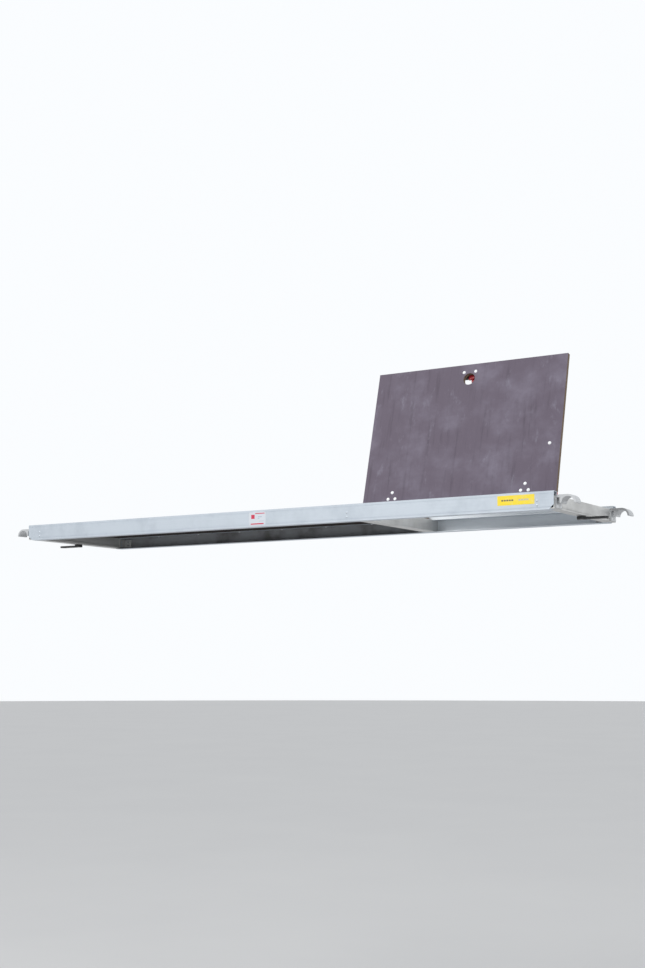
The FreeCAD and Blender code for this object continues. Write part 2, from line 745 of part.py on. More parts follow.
STUD_Y = -130.0
STUD_LIFT = 38.0
make_stay()
bracket_place = ((stay_x + stay_thick + 10, bracket_y, rail_top), (0, 0, 1))
group("stay_bracket_rivet", rivet(BOARD_HEAD, BOARD_DOME, 2.4, 17.5, 3.4, 1.5), [bracket_place], opened=True)
stud_turn = Rotation(Vector(0, 0, 1), Vector(-1, 0, 0))
stud_z = rail_base + STUD_LIFT
stud_body = rod("stud_body", half_length - beam_width, STUD_Y, stud_z, 4, 15, stud_turn)
stud_tail = rod("stud_tail", half_length - beam_width + 3, STUD_Y, stud_z, 3, 3.5, stud_turn)
keep("stay_stud", fuse("stay_stud", stud_body, stud_tail))

# Labels: thin plates on the front rail's outer face.
LABEL_THICK = 0.3
keep("rail_label", box("rail_label", 994, -half_width - LABEL_THICK, rail_top - 42, 140, LABEL_THICK, 34))
keep("dot_label", box("dot_label", -60, -half_width - LABEL_THICK, rail_top - 58, 78, LABEL_THICK, 50))

# The front ledge is notched at each hinge, clear of the tails of the rivets nearest the edge
notches = []
for side, place in hinge_places.items():
    notch_y = ledge_inside * -1 - 6
    notches.append(box("ledge_notch_" + side, place - 22, notch_y, ledge_under - 1, 44, 8, rail_wall + 2))
take_out("rail_front", *notches)

# Holes for the fasteners
doc.recompute()
for corner in CORNERS:
    drill("hook_" + corner, "hook_rivets")
for side in ("left", "right"):
    drill("end_beam_" + side, "hook_rivets", "cleat_rivets", "windlock_bolt_" + side)
    drill("hinge_leaf_fixed_" + side, "hinge_lip_rivets")
    drill("hinge_leaf_moving_" + side, "hinge_leaf_rivets")
drill("cross_beam", "cleat_rivets")
drill("end_beam_right", "stay_stud")
for label in list(nodes):
    if label.startswith("cleat_") and label != "cleat_rivets":
        drill(label, "cleat_rivets")
drill("rail_front", "cleat_rivets", "deck_rivets", "hinge_lip_rivets")
drill("rail_rear", "cleat_rivets", "deck_rivets")
drill("deck_panel", "deck_rivets")
drill("hatch_panel", "hinge_leaf_rivets", "latch_rivets", "stay_bracket_rivet")
drill("latch_housing", "latch_rivets")
drill("stay_bracket", "stay_bracket_rivet")

doc.recompute()
for item in doc.Objects:
    if "Invalid" in item.State or "Error" in item.State:
        raise ValueError("failed object: " + item.Name)

os.makedirs("parts", exist_ok=True)
for label, item in nodes.items():
    shape = item.Shape
    if shape.isNull() or not shape.isValid() or not shape.Solids:
        raise ValueError("bad shape: " + label)
    shape.exportStep("parts/%s.step" % label)
    box_now = shape.BoundBox
    print("%-26s solids %3d  volume %11.1f  x %8.1f %8.1f  y %7.1f %7.1f  z %6.1f %6.1f" % (
        label, len(shape.Solids), shape.Volume, box_now.XMin, box_now.XMax,
        box_now.YMin, box_now.YMax, box_now.ZMin, box_now.ZMax))
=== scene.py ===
# %% [markdown]
# # A trapdoor platform for a scaffold tower
# This is a working deck that hangs between the two frames of a tower. An aluminium frame carries plywood, and
# the board at one end is a trapdoor, which stands open here. The measured model comes first, as a fixed frame
# that nothing in this lesson moves. Each later cell gives one of its pieces a real surface, or stands a finer
# piece in its place.

# %% Load the measured model
import json
import math

import bmesh
import bpy
from mathutils import Matrix, Vector


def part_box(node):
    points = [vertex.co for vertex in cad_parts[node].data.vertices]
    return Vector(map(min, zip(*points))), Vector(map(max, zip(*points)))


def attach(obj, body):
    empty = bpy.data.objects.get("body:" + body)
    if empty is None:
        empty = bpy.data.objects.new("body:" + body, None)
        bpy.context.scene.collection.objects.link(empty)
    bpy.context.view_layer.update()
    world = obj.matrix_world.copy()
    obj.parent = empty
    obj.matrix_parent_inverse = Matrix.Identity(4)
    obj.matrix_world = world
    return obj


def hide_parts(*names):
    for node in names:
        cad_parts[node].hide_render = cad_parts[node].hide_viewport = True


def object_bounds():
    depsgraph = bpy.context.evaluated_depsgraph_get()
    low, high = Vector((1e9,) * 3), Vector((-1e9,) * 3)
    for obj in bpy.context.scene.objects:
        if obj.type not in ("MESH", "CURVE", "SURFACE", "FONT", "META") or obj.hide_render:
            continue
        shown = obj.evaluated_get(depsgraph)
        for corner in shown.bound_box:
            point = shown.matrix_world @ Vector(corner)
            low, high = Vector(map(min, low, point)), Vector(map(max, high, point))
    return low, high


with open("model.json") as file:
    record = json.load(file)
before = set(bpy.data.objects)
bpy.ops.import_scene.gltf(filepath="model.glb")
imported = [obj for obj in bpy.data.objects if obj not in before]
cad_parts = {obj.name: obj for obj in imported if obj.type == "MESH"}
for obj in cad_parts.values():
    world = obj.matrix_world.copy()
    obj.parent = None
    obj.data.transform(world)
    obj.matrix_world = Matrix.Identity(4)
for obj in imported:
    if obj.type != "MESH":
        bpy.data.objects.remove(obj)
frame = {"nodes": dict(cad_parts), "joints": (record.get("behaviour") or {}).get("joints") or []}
cad_low, cad_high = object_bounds()
nodes = frame["nodes"]
MM = 0.001

# %% [markdown]
# ## Writing a surface as sums
# A surface that looks real is mostly arithmetic: a little noise added here, a mask multiplied there. Each sum
# could be wired by hand, but that hides what it says. So a small class wraps a socket and lets Python's own
# signs add the Math nodes. Every other kind of node comes from its one method, which takes the type, the
# settings and then the sockets.

# %% A wire that can be added up
class Wire:
    """One output in a material's node tree."""

    def __init__(self, tree, socket=None):
        self.tree = tree
        self.socket = socket

    def node(self, kind, settings=None, sockets=None, output=0):
        made = self.tree.nodes.new(kind)
        for name, value in (settings or {}).items():
            setattr(made, name, value)
        for key, value in (sockets or {}).items():
            if isinstance(value, Wire):
                self.tree.links.new(value.socket, made.inputs[key])
            else:
                made.inputs[key].default_value = value
        # The Material Output node is the end of the line and has no outputs of its own
        return Wire(self.tree, made.outputs[output] if made.outputs else None)

    def math(self, operation, first, second=0.0):
        return self.node("ShaderNodeMath", {"operation": operation}, {0: first, 1: second})

    def __add__(self, other):
        return self.math("ADD", self, other)

    def __radd__(self, other):
        return self.math("ADD", other, self)

    def __sub__(self, other):
        return self.math("SUBTRACT", self, other)

    def __rsub__(self, other):
        return self.math("SUBTRACT", other, self)

    def __mul__(self, other):
        return self.math("MULTIPLY", self, other)

    def __rmul__(self, other):
        return self.math("MULTIPLY", other, self)


print("sums on wires add Math nodes")

# %% [markdown]
# ## Where a mark sits
# Dust, scratches and print all need to know where they are. Picture coordinates would need the piece to be
# unwrapped first. The object's own coordinates need nothing, come in metres, and stay with the piece when the
# trapdoor swings, so every finish here uses them. Places are vectors, and go through Vector Math.

# %% Places and facings
def place(board):
    return board.node("ShaderNodeTexCoord", output=3)


def facing(board):
    return board.node("ShaderNodeTexCoord", output=1)


def part_of(board, vector, axis):
    return board.node("ShaderNodeSeparateXYZ", None, {0: vector}, output="XYZ".index(axis))


def along(board, vector, direction):
    """How far a vector reaches along a direction."""
    sockets = {0: vector, 1: direction}
    return board.node("ShaderNodeVectorMath", {"operation": "DOT_PRODUCT"}, sockets, output=1)


def stretched(board, vector, amounts):
    return board.node("ShaderNodeVectorMath", {"operation": "MULTIPLY"}, {0: vector, 1: amounts})


print("places and facings are ready")

# %% [markdown]
# ## Patches and colours
# Most finishes share three more ideas: noise, a soft step that turns noise into patches with gentle edges,
# and a blend of two colours. A colour ramp could do the last two at once, but then one patch couldn't steer
# both the colour and the roughness.

# %% Noise, steps and blends
def noise(board, vector, scale, detail=4.0, roughness=0.55):
    sockets = {"Vector": vector, "Scale": scale, "Detail": detail, "Roughness": roughness}
    return board.node("ShaderNodeTexNoise", None, sockets)


def soft_step(board, value, low, high):
    sockets = {0: value, 1: low, 2: high, 3: 0.0, 4: 1.0}
    return board.node("ShaderNodeMapRange", {"interpolation_type": "SMOOTHSTEP"}, sockets)


def blend_colours(board, amount, first, second):
    return board.node("ShaderNodeMix", {"data_type": "RGBA"}, {0: amount, 6: first, 7: second}, output=2)


def colour(red, green, blue):
    return (red, green, blue, 1.0)


print("patches and colours are ready")

# %% [markdown]
# ## Starting a finish
# A finish starts with a Principled shader. Numbers that are the same all over sit on its own sockets, and
# what varies is linked: colour, roughness, and a height that a Bump node turns into relief. The relief's
# depth is given in metres, so a scratch stays a scratch at any size.

# %% Start and finish a material
def new_finish(name, **constants):
    material = bpy.data.materials.new(name)
    material.use_nodes = True
    material.node_tree.nodes.clear()
    board = Wire(material.node_tree)
    sockets = {socket.replace("_", " "): value for socket, value in constants.items()}
    shader = board.node("ShaderNodeBsdfPrincipled", None, sockets)
    board.node("ShaderNodeOutputMaterial", None, {0: shader})
    return material, shader, board


def feed(shader, **wires):
    for socket, wire in wires.items():
        wire.tree.links.new(wire.socket, shader.socket.node.inputs[socket.replace("_", " ")])


def relief(board, height, depth):
    return board.node("ShaderNodeBump", None, {"Strength": 1.0, "Distance": depth, "Height": height})


def paint(piece, finish):
    piece.data.materials.clear()
    piece.data.materials.append(finish)


print("finishes can be started")

# %% [markdown]
# ## Mill-finish aluminium
# Extruded aluminium leaves the die with fine lines along its length. Handling then dulls it in soft patches
# and adds short scratches. The lines are noise squeezed along the extrusion; the patches are slow noise. The
# lines also lift the roughness a little, which is what spreads a highlight across the rail.
#
# The rails' inner faces also carry painted light and shade. Under the deck they are darkened with a painted
# shade that stands in for the deck's shadow. In the hatchway they are brightened with a painted highlight that
# stands in for light falling through the open trapdoor. A separate material could be cut in at the beam,
# but one mask does it with a soft border.

# %% Painted shade under the deck, painted light in the hatchway
METALLIC = 0.9
# Colours for the painted shade under the deck and the painted highlight in the hatchway
SHADE_UNDER_DECK = colour(0.14, 0.118, 0.10)
HATCHWAY_LIGHT = colour(0.90, 0.94, 0.97)


def painted_shade_and_light(board, shader, here, handling, shade, rough, covered_until):
    """The colour and roughness with painted shade under the deck and painted light in the hatchway, on the
    faces that look inwards.
    """
    outward = part_of(board, facing(board), "Y") * part_of(board, here, "Y")
    inward = soft_step(board, outward * -1.0, 0.1, 0.2)
    covered = soft_step(board, covered_until - part_of(board, here, "X"), -0.01, 0.03)
    # Painted shade: inward faces under the deck are darkened, standing in for the deck's shadow
    under_deck_shade = inward * covered * (0.6 + handling * 0.2)
    # Painted light: inward faces in the hatchway are brightened and made less metallic, standing in for light
    # through the open trapdoor
    wear_and_painted_light = inward * (1.0 - covered)
    shade = blend_colours(board, under_deck_shade, shade, SHADE_UNDER_DECK)
    shade = blend_colours(board, wear_and_painted_light * 0.75, shade, HATCHWAY_LIGHT)
    feed(shader, Metallic=METALLIC - wear_and_painted_light * 0.45)
    return shade, rough + under_deck_shade * 0.2 + wear_and_painted_light * 0.1


# The rail metal's inner faces take painted shade and painted light
print("metal can age")

# %% [markdown]
# The metal itself takes the axis that its die lines run along, a bright and a dull colour, and a roughness.

# %% Aluminium, extruded along a chosen axis
FINE_LINES = 900.0
LONG_LINES = 3.0
NICK_SHAPE = (140.0, 260.0, 900.0)
LINE_DEPTH = 0.04 * MM


def aluminium(name, line_axis, bright, dull, roughness, covered_until=None):
    material, shader, board = new_finish(name, Metallic=METALLIC, IOR=1.5)
    squeeze = [LONG_LINES if axis == line_axis else FINE_LINES for axis in "XYZ"]
    here = place(board)
    lines = noise(board, stretched(board, here, squeeze), 1.0, 3.0)
    handling = soft_step(board, noise(board, here, 7.0, 5.0, 0.6), 0.42, 0.68)
    nicks = soft_step(board, noise(board, stretched(board, here, NICK_SHAPE), 1.0, 2.0), 0.66, 0.74)
    shade = blend_colours(board, lines * 0.55 + handling * 0.45, colour(*bright), colour(*dull))
    rough = roughness + lines * 0.1 + handling * 0.12 - nicks * 0.08
    # Only the rails take painted shade under the deck and painted light in the hatchway
    if covered_until is not None:
        shade, rough = painted_shade_and_light(board, shader, here, handling, shade, rough, covered_until)
    feed(shader, Base_Color=shade, Roughness=rough)
    feed(shader, Normal=relief(board, lines * 0.6 - nicks, LINE_DEPTH))
    return material


deck_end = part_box("cross_beam")[0].x
# deck_end is where the painted shade under the deck gives way to painted light in the hatchway
rail_metal = aluminium("rail_aluminium", "X", (0.655, 0.71, 0.77), (0.48, 0.53, 0.585), 0.36, deck_end)
beam_metal = aluminium("beam_aluminium", "Y", (0.70, 0.70, 0.69), (0.50, 0.50, 0.49), 0.38)
hook_metal = aluminium("hook_aluminium", "Y", (0.68, 0.69, 0.70), (0.44, 0.45, 0.46), 0.33)
print("aluminium:", rail_metal.name, beam_metal.name, hook_metal.name)

# %% [markdown]
# ## Film-faced plywood
# The deck is birch plywood faced with a phenolic film. Its top carries a fine wire-mesh print for grip. Dust
# settles on it in clouds, rain leaves faint streaks, and boots leave pale scuffs. All of these are noise in
# the plane of the board, each stretched its own way, and laid over each other from the film upwards.

# %% The film, its dust and its grip print
FILM_DARK = colour(0.114, 0.092, 0.124)
FILM_PALE = colour(0.146, 0.121, 0.158)
STREAK = colour(0.062, 0.048, 0.066)
DUST = colour(0.230, 0.208, 0.262)
SCUFF = colour(0.255, 0.240, 0.295)
MESH_PITCH = 3.2 * MM
MESH_SLOPE = 0.6


def film(board, flat, dust, scuffs):
    streaks = noise(board, stretched(board, flat, (60.0, 5.0, 1.0)), 1.0, 3.0)
    shade = blend_colours(board, noise(board, flat, 700.0, 2.0), FILM_DARK, FILM_PALE)
    shade = blend_colours(board, soft_step(board, streaks, 0.5, 0.75) * 0.42, shade, STREAK)
    shade = blend_colours(board, dust * 0.75, shade, DUST)
    return blend_colours(board, scuffs * 0.55, shade, SCUFF)


def grip_print(board, lengthwise, sideways):
    """Two sets of crossing lines, pressed into the film."""
    turns = 2 * math.pi / MESH_PITCH
    first = board.math("SINE", (lengthwise + sideways * MESH_SLOPE) * turns)
    second = board.math("SINE", (lengthwise - sideways * MESH_SLOPE) * turns)
    return soft_step(board, board.math("MAXIMUM", first, second), 0.7, 0.95)


print("the film has a grip print every", round(MESH_PITCH / MM, 1), "mm")

# %% [markdown]
# A cut edge shows the plies: long grain is pale and end grain is dark. A picture of plywood would do, but the
# depth below the film already says which ply a point is in, so its fraction of a ply pair gives the stripes,
# and a little noise makes them wander.

# %% The plies at a cut edge
PLY = 1.5 * MM
PALE_PLY = colour(0.29, 0.215, 0.155)
DARK_PLY = colour(0.12, 0.08, 0.055)
END_GRAIN = colour(0.075, 0.06, 0.05)


def ply_edge(board, depth, flat, fibres):
    wander = noise(board, flat, 30.0, 2.0) * 0.12
    ply = board.math("FRACT", depth * (0.5 / PLY) + wander)
    dark = soft_step(board, ply, 0.44, 0.52) - soft_step(board, ply, 0.94, 1.0)
    edge = blend_colours(board, dark, PALE_PLY, DARK_PLY)
    return blend_colours(board, fibres * 0.5, edge, END_GRAIN)


print("a ply is", round(PLY / MM, 1), "mm thick")

# %% [markdown]
# One material does the film, the edge and the plain dark underside: the way a face points picks between them.
# The trapdoor stands at an angle, so its own up and across directions are passed in.

# %% Plywood with a printed top, ply edges and a dark underside
UNDERSIDE = colour(0.022, 0.016, 0.015)
UNDERSIDE_DUSTY = colour(0.040, 0.031, 0.028)
EDGE_ROUGHNESS = 0.85
PRINT_DEPTH = 0.08 * MM


def film_plywood(name, up, across, lowest):
    material, shader, board = new_finish(name, Specular_IOR_Level=0.15)
    here = place(board)
    normal = along(board, facing(board), up)
    is_top = soft_step(board, normal, 0.5, 0.6)
    is_under = soft_step(board, normal * -1.0, 0.5, 0.6)
    lengthwise = part_of(board, here, "X")
    sideways = along(board, here, across)
    flat = board.node("ShaderNodeCombineXYZ", None, {0: lengthwise, 1: sideways, 2: 0.0})
    dust = soft_step(board, noise(board, flat, 5.5, 5.0, 0.6), 0.42, 0.76)
    boots = noise(board, stretched(board, flat, (26.0, 11.0, 1.0)), 1.0, 4.0, 0.7)
    scuffs = soft_step(board, boots, 0.56, 0.76)
    grip = grip_print(board, lengthwise, sideways)
    fibres = noise(board, stretched(board, here, (60.0, 60.0, 1500.0)), 1.0, 3.0)
    edge = ply_edge(board, along(board, here, up) - lowest, flat, fibres)
    shade = blend_colours(board, is_top, edge, film(board, flat, dust, scuffs))
    shade = blend_colours(board, is_under, shade, blend_colours(board, dust, UNDERSIDE, UNDERSIDE_DUSTY))
    top_roughness = 0.5 + dust * 0.18 + scuffs * 0.12 - grip * 0.06
    rough = EDGE_ROUGHNESS + is_top * (top_roughness - EDGE_ROUGHNESS) - is_under * 0.15
    height = is_top * grip + fibres * (1.0 - is_top) * (1.0 - is_under) * 1.5
    feed(shader, Base_Color=shade, Roughness=rough, Normal=relief(board, height, PRINT_DEPTH))
    return material


print("plywood can be made at any angle")

# %% [markdown]
# The angle that the trapdoor stands at is the hinge joint's own range, because it closes from where it is.

# %% Face the deck and the trapdoor
hinge = next(joint for joint in frame["joints"] if joint["name"] == "hatch_hinge")
OPEN_ANGLE = math.radians(-hinge["range_deg"][0])
opened = Matrix.Rotation(OPEN_ANGLE, 3, "X")
hatch_up = opened @ Vector((0, 0, 1))
hatch_across = opened @ Vector((0, 1, 0))
hatch_lowest = min(hatch_up.dot(corner.co) for corner in nodes["hatch_panel"].data.vertices)
deck_low, deck_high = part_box("deck_panel")
deck_thick = deck_high.z - deck_low.z
paint(nodes["deck_panel"], film_plywood("deck_plywood", (0, 0, 1), (0, 1, 0), deck_low.z))
hatch_film = film_plywood("hatch_plywood", tuple(hatch_up), tuple(hatch_across), hatch_lowest)
paint(nodes["hatch_panel"], hatch_film)
print("plywood", round(deck_thick / MM, 1), "mm, trapdoor open", round(math.degrees(OPEN_ANGLE)), "degrees")

# %% [markdown]
# ## Plated steel
# Small fittings are zinc-plated steel, with a faint mottle, a few stains and no grain. A plain metal broken
# up by two sizes of noise is enough for pieces this small.

# %% Plated steel
ZINC_DARK = colour(0.55, 0.56, 0.57)
ZINC_PALE = colour(0.70, 0.70, 0.69)
ZINC_STAIN = colour(0.36, 0.34, 0.30)
FINE_DEPTH = 0.02 * MM


def plated_steel(name):
    material, shader, board = new_finish(name, Metallic=1.0)
    here = place(board)
    mottle = noise(board, here, 90.0, 5.0, 0.7)
    stain = soft_step(board, noise(board, here, 26.0, 3.0), 0.55, 0.75)
    shade = blend_colours(board, mottle, ZINC_DARK, ZINC_PALE)
    shade = blend_colours(board, stain * 0.35, shade, ZINC_STAIN)
    feed(shader, Base_Color=shade, Roughness=0.3 + mottle * 0.15 + stain * 0.1)
    feed(shader, Normal=relief(board, noise(board, here, 1500.0, 2.0), FINE_DEPTH))
    return material


steel = plated_steel("zinc_steel")
print("steel:", steel.name)

# %% [markdown]
# ## Bright rivets
# The rivets are softer aluminium, polished by their setting tool, with grime round some of them. Polished
# metal would mirror the dark board, and the real domes look almost white, so these are only part metallic.

# %% Bright rivets
RIVET_PALE = colour(0.90, 0.91, 0.92)
RIVET_DARK = colour(0.82, 0.83, 0.84)
RIVET_GRIME = colour(0.45, 0.44, 0.43)


def bright_rivet(name):
    material, shader, board = new_finish(name, Metallic=0.35)
    here = place(board)
    brushed = noise(board, here, 900.0, 3.0)
    grime = soft_step(board, noise(board, here, 60.0, 3.0), 0.55, 0.8)
    shade = blend_colours(board, brushed, RIVET_PALE, RIVET_DARK)
    shade = blend_colours(board, grime * 0.25, shade, RIVET_GRIME)
    feed(shader, Base_Color=shade, Roughness=0.34 + brushed * 0.12 + grime * 0.15)
    feed(shader, Normal=relief(board, brushed, FINE_DEPTH))
    return material


rivet_metal = bright_rivet("rivet_aluminium")
print("rivets:", rivet_metal.name)

# %% [markdown]
# ## Moulded plastic
# The levers, the latch and the washers are moulded, and the stay's strip is coated. The mould is spark-eroded,
# which leaves a fine texture, and hands rub it paler and smoother. One function takes the two colours, the
# roughness and, for the red pieces, a thin clear coat.

# %% Plastics and coats
SPARK_DEPTH = 0.03 * MM


def moulded(name, main, wear_and_painted_light, roughness, coat=0.0):
    material, shader, board = new_finish(name, IOR=1.48, Coat_Weight=coat, Coat_Roughness=0.2)
    here = place(board)
    sparks = noise(board, here, 2200.0, 2.0)
    wear = soft_step(board, noise(board, here, 38.0, 4.0), 0.5, 0.78)
    shade = blend_colours(board, wear * 0.6 + sparks * 0.15, colour(*main), colour(*wear_and_painted_light))
    feed(shader, Base_Color=shade, Roughness=roughness + sparks * 0.1 - wear * 0.1)
    feed(shader, Normal=relief(board, sparks, SPARK_DEPTH))
    return material


lever_black = moulded("windlock_black", (0.018, 0.018, 0.019), (0.06, 0.06, 0.062), 0.55)
latch_black = moulded("latch_black", (0.02, 0.02, 0.021), (0.05, 0.05, 0.05), 0.5)
latch_red = moulded("latch_red", (0.42, 0.006, 0.02), (0.52, 0.04, 0.05), 0.36, 0.3)
stay_red = moulded("stay_red", (0.47, 0.008, 0.022), (0.56, 0.06, 0.06), 0.34, 0.4)
nylon = moulded("washer_nylon", (0.78, 0.77, 0.73), (0.6, 0.58, 0.52), 0.5)
print("plastics:", lever_black.name, latch_black.name, latch_red.name, stay_red.name, nylon.name)

# %% [markdown]
# ## Dressing the measured pieces
# Pieces whose shapes are already right keep them, and only take a finish. Each could be painted on its own
# line, but a short list that pairs a finish with the start of its pieces' names is easier to check. A later
# line of the list wins, so the stay bracket's rivet takes the rivets' finish. The rivets in the rails are as
# dull as the rail, and take its metal.

# %% Dress the measured pieces
BOARD_RIVETS = ("deck_rivets", "hook_rivets", "hinge_lip_rivets", "hinge_leaf_rivets", "latch_rivets")
DRESS = (
    (beam_metal, ("end_beam_", "cross_beam", "cleat_left", "cleat_right", "cleat_cross")),
    (hook_metal, ("hook_left", "hook_right")),
    (rail_metal, ("cleat_rivets",)),
    (steel, ("hinge_leaf_fixed", "hinge_leaf_moving", "hinge_pin", "stay_stud", "stay_pin", "stay_bracket")),
    (steel, ("windlock_bolt", "windlock_nut")),
    (rivet_metal, BOARD_RIVETS + ("stay_bracket_rivet",)),
    (nylon, ("windlock_washer",)),
    (lever_black, ("windlock_left", "windlock_right")),
    (latch_black, ("latch_housing",)),
    (stay_red, ("hatch_stay",)),
)
dressed = set()
for finish, starts in DRESS:
    for name, node in nodes.items():
        if name.startswith(starts):
            paint(node, finish)
            dressed.add(name)
print("dressed", len(dressed), "measured pieces")

# %% [markdown]
# A real edge is never perfectly sharp: the saw, the die or the mould leaves a tiny round that catches the
# light. Modifiers add it and leave the measured mesh alone. Weld joins the facets first, so that Bevel can
# tell a true edge from the seams inside a curve.

# %% Soften the measured pieces' edges
SOFT_EDGES = (
    (0.5 * MM, ("end_beam_", "cross_beam", "cleat_left", "cleat_right", "cleat_cross")),
    (0.5 * MM, ("hook_left", "hook_right")),
    (0.8 * MM, ("windlock_left", "windlock_right")),
    (0.6 * MM, ("latch_housing", "hatch_stay")),
    (0.25 * MM, ("windlock_nut", "windlock_bolt", "stay_bracket", "hinge_leaf_fixed", "hinge_leaf_moving")),
)
WELD_REACH = 0.002 * MM
softened = 0
for width, starts in SOFT_EDGES:
    for name, node in nodes.items():
        if name.startswith(starts) and "rivet" not in name:
            node.modifiers.new("weld", "WELD").merge_threshold = WELD_REACH
            soft = node.modifiers.new("soft_edges", "BEVEL")
            soft.width = width
            soft.segments = 2
            soft.limit_method = "ANGLE"
            soft.angle_limit = math.radians(40)
            softened += 1
print("softened", softened, "pieces")

# %% [markdown]
# ## Making new pieces
# A finer piece is drawn in mesh code at its place in the measured frame, takes its finish, hides the
# measured piece that it stands for, and rides on that piece's body. Corners are rounded with a Bevel modifier
# that only touches sharp edges.

# %% Stand a piece in the scene
def stand(name, mesh, body, finish, replaced=(), bevel=0.0, sharp=35.0):
    piece = bpy.data.objects.new(name, mesh)
    bpy.context.scene.collection.objects.link(piece)
    mesh.shade_smooth()
    mesh.set_sharp_from_angle(angle=math.radians(sharp))
    if bevel:
        rounding = piece.modifiers.new("rounding", "BEVEL")
        rounding.width = bevel
        rounding.segments = 2
        rounding.limit_method = "ANGLE"
        rounding.angle_limit = math.radians(sharp)
        rounding.harden_normals = True
    paint(piece, finish)
    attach(piece, body)
    if replaced:
        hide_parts(*replaced)


def mesh_of(shape, name):
    bmesh.ops.remove_doubles(shape, verts=shape.verts, dist=1e-7)
    bmesh.ops.recalc_face_normals(shape, faces=shape.faces)
    mesh = bpy.data.meshes.new(name)
    shape.to_mesh(mesh)
    shape.free()
    return mesh


print("pieces can be stood in the scene")

# %% [markdown]
# Most new pieces here are extrusions, as the real ones are: an outline, its corners eased into short arcs,
# and carried straight along one way. The rest are a few blocks joined into one mesh, whose edges the Bevel
# modifier rounds afterwards.

# %% Outlines, sweeps and blocks
def sweep(outline, low, high, place_point):
    """A closed outline carried straight from low to high; place_point(u, v, w) gives each corner."""
    shape = bmesh.new()
    rings = [[shape.verts.new(place_point(u, v, w)) for u, v in outline] for w in (low, high)]
    count = len(outline)
    for number in range(count):
        after = (number + 1) % count
        shape.faces.new((rings[0][number], rings[0][after], rings[1][after], rings[1][number]))
    shape.faces.new(rings[0])
    shape.faces.new(rings[1])
    return shape


def rounded(outline, radius, steps=3):
    """An outline with each corner turned into a short arc."""
    smooth = []
    count = len(outline)
    for number in range(count):
        corner = Vector(outline[number])
        before = Vector(outline[number - 1]) - corner
        after = Vector(outline[(number + 1) % count]) - corner
        reach = min(radius, before.length * 0.45, after.length * 0.45)
        start = corner + before.normalized() * reach
        end = corner + after.normalized() * reach
        for step in range(steps + 1):
            t = step / steps
            smooth.append(tuple(start * (1 - t) ** 2 + corner * (2 * t * (1 - t)) + end * t ** 2))
    return smooth


def add_box(shape, low, high):
    """A block between two corners, added to a shape."""
    low = Vector(low)
    high = Vector(high)
    made = bmesh.ops.create_cube(shape, size=1.0)["verts"]
    bmesh.ops.scale(shape, vec=high - low, verts=made)
    bmesh.ops.translate(shape, vec=(high + low) / 2, verts=made)


print("outlines can be swept, and blocks added")

# %% [markdown]
# ## The side rails
# Each rail is one extrusion: a web, a wide bottom flange, a top flange with a lip, and a ledge that the deck
# sits on. The die leaves soft corners and two fine grooves along the web. A bump could fake the grooves, but
# they show in the outline at the sawn ends, so they are drawn in it.

# %% The rail's outline
WALL = 2.5 * MM
LEDGE_REACH = 52 * MM
BOTTOM_FLANGE = 38 * MM
TOP_FLANGE = 29 * MM
GROOVE = 0.5 * MM
GROOVE_INSET = 9 * MM
DIE_RADIUS = 0.7 * MM
SEAT_GAP = 0.1 * MM


def rail_outline(height):
    # The ledge lies a hair under the boards, so that faces at rest on each other don't share a plane
    ledge_top = height - deck_thick - SEAT_GAP
    lip = TOP_FLANGE - WALL
    web = [(0, height)]
    for centre in (height - GROOVE_INSET, GROOVE_INSET):
        web += [(0, centre + GROOVE), (GROOVE, centre), (0, centre - GROOVE)]
    solid = [
        (0, 0),
        (BOTTOM_FLANGE, 0),
        (BOTTOM_FLANGE, WALL),
        (WALL, WALL),
        (WALL, height - WALL),
        (lip, height - WALL),
        (lip, ledge_top - WALL),
        (LEDGE_REACH, ledge_top - WALL),
        (LEDGE_REACH, ledge_top),
        (TOP_FLANGE, ledge_top),
        (TOP_FLANGE, height),
    ]
    return rounded(solid, DIE_RADIUS) + web


rail_low, rail_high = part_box("rail_front")
print("the rail's outline has", len(rail_outline(rail_high.z - rail_low.z)), "corners")

# %% [markdown]
# Two cuts follow the extrusion. Each end's lower corner is sawn off at 45 degrees, which a bisecting plane
# does in one stroke. Then the front ledge is notched at each hinge, and a Boolean takes those blocks out.

# %% A saw and a notching tool
def saw(shape, point, normal):
    geometry = shape.verts[:] + shape.edges[:] + shape.faces[:]
    bmesh.ops.bisect_plane(shape, geom=geometry, dist=1e-7, plane_co=point, plane_no=normal, clear_outer=True)
    open_edges = [edge for edge in shape.edges if edge.is_boundary]
    bmesh.ops.holes_fill(shape, edges=open_edges, sides=0)


def cut_away(mesh, blocks):
    """The mesh with blocks taken out of it, each between a low and a high corner."""
    cutter_shape = bmesh.new()
    for block_low, block_high in blocks:
        add_box(cutter_shape, block_low, block_high)
    whole = bpy.data.objects.new("whole", mesh)
    cutter = bpy.data.objects.new("cutter", mesh_of(cutter_shape, "cutter"))
    for item in (whole, cutter):
        bpy.context.scene.collection.objects.link(item)
    trimming = whole.modifiers.new("notches", "BOOLEAN")
    trimming.object = cutter
    trimming.solver = "EXACT"
    bpy.context.view_layer.update()
    trimmed = bpy.data.meshes.new_from_object(whole.evaluated_get(bpy.context.evaluated_depsgraph_get()))
    bpy.data.objects.remove(whole)
    bpy.data.objects.remove(cutter)
    return trimmed


print("rails can be sawn and notched")

# %% [markdown]
# The two rails are the same extrusion, turned to face each other. One function makes both, told where the
# outer face is and which way is inward. Only the front one carries hinges, so only it is notched.

# %% Sweep, saw and notch the rails
SAWN_CORNER = 18 * MM
NOTCH_HALF = 22 * MM
NOTCH_DEPTH = 6 * MM


